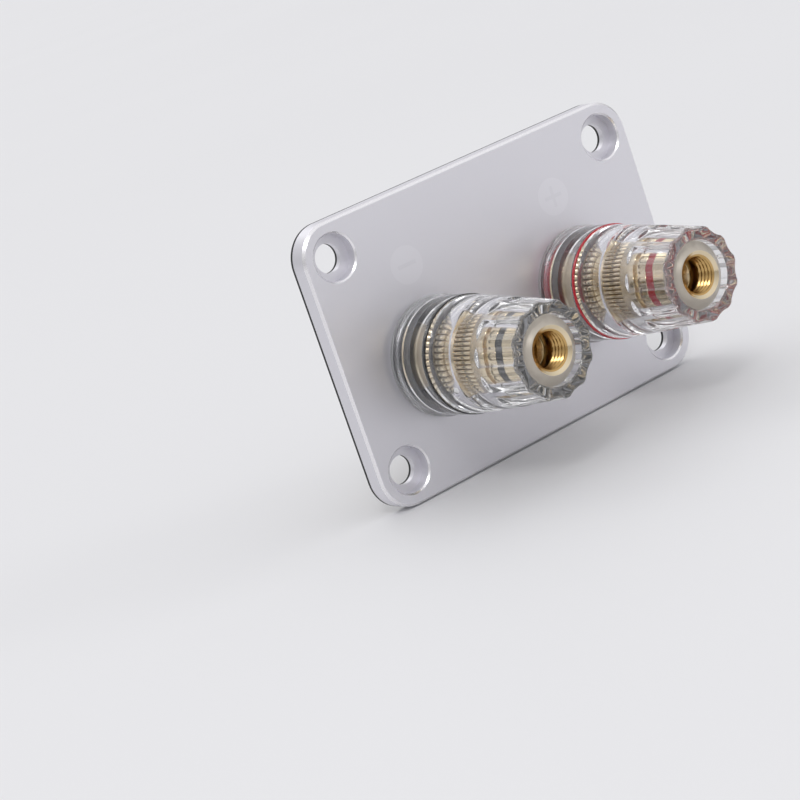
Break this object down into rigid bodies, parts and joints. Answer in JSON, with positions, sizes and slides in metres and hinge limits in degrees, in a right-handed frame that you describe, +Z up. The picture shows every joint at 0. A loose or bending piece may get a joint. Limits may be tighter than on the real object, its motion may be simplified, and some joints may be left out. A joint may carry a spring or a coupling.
{
  "type": "binding post plate",
  "caption": "Rectangular aluminium terminal plate carrying a black and a red clear-shelled screw binding post with 4 mm sockets, and solder cups behind.",
  "frame": {"origin": "centre of the screw pattern on the plate's mounting face, the rear face of the back sheet", "axes": "+X along the plate's long side towards the red post, +Z up, -Y out of the front along the posts"},
  "size_m": [0.065, 0.0472, 0.045],
  "materials": {
    "blasted_aluminium": "fine bead-blasted, clear anodised",
    "black_sheet": "matte fibre or plastic sheet",
    "clear_plastic": "clear moulded, polished",
    "gold_plated_brass": "gold plated, bright turned",
    "black_plastic": "glossy",
    "red_plastic": "glossy"
  },
  "bodies": {
    "panel": {"faceplate": "blasted_aluminium", "back_sheet": "black_sheet", "black_foot_ring": "black_plastic", "black_base": "clear_plastic", "black_stud": "gold_plated_brass", "black_shoulder_washer": "black_plastic", "black_flat_washer": "gold_plated_brass", "black_nut": "gold_plated_brass", "red_foot_ring": "red_plastic", "red_base": "clear_plastic", "red_stud": "gold_plated_brass", "red_shoulder_washer": "red_plastic", "red_flat_washer": "gold_plated_brass", "red_nut": "gold_plated_brass"},
    "black_clamp": {"black_clamp_ring": "black_plastic"},
    "black_knob": {"black_knob_insert": "gold_plated_brass", "black_knob_band": "black_plastic", "black_knob_shell": "clear_plastic"},
    "red_clamp": {"red_clamp_ring": "red_plastic"},
    "red_knob": {"red_knob_insert": "gold_plated_brass", "red_knob_band": "red_plastic", "red_knob_shell": "clear_plastic"}
  },
  "joints": [
    {"name": "black_knob_travel", "type": "slide", "parent": "panel", "child": "black_clamp", "axis": [0, -1, 0], "range_m": [0, 0.006]},
    {"name": "black_knob_turn", "type": "hinge", "parent": "black_clamp", "child": "black_knob", "pos_m": [-0.015, -0.0185, -0.0033], "axis": [0, -1, 0], "range_deg": [0, 2880]},
    {"name": "red_knob_travel", "type": "slide", "parent": "panel", "child": "red_clamp", "axis": [0, -1, 0], "range_m": [0, 0.006]},
    {"name": "red_knob_turn", "type": "hinge", "parent": "red_clamp", "child": "red_knob", "pos_m": [0.015, -0.0185, -0.0033], "axis": [0, -1, 0], "range_deg": [0, 2880]}
  ],
  "couplings": [
    {"joint": "black_knob_turn", "follows": "black_knob_travel", "rad_per_m": 8377.6},
    {"joint": "red_knob_turn", "follows": "red_knob_travel", "rad_per_m": 8377.6}
  ]
}
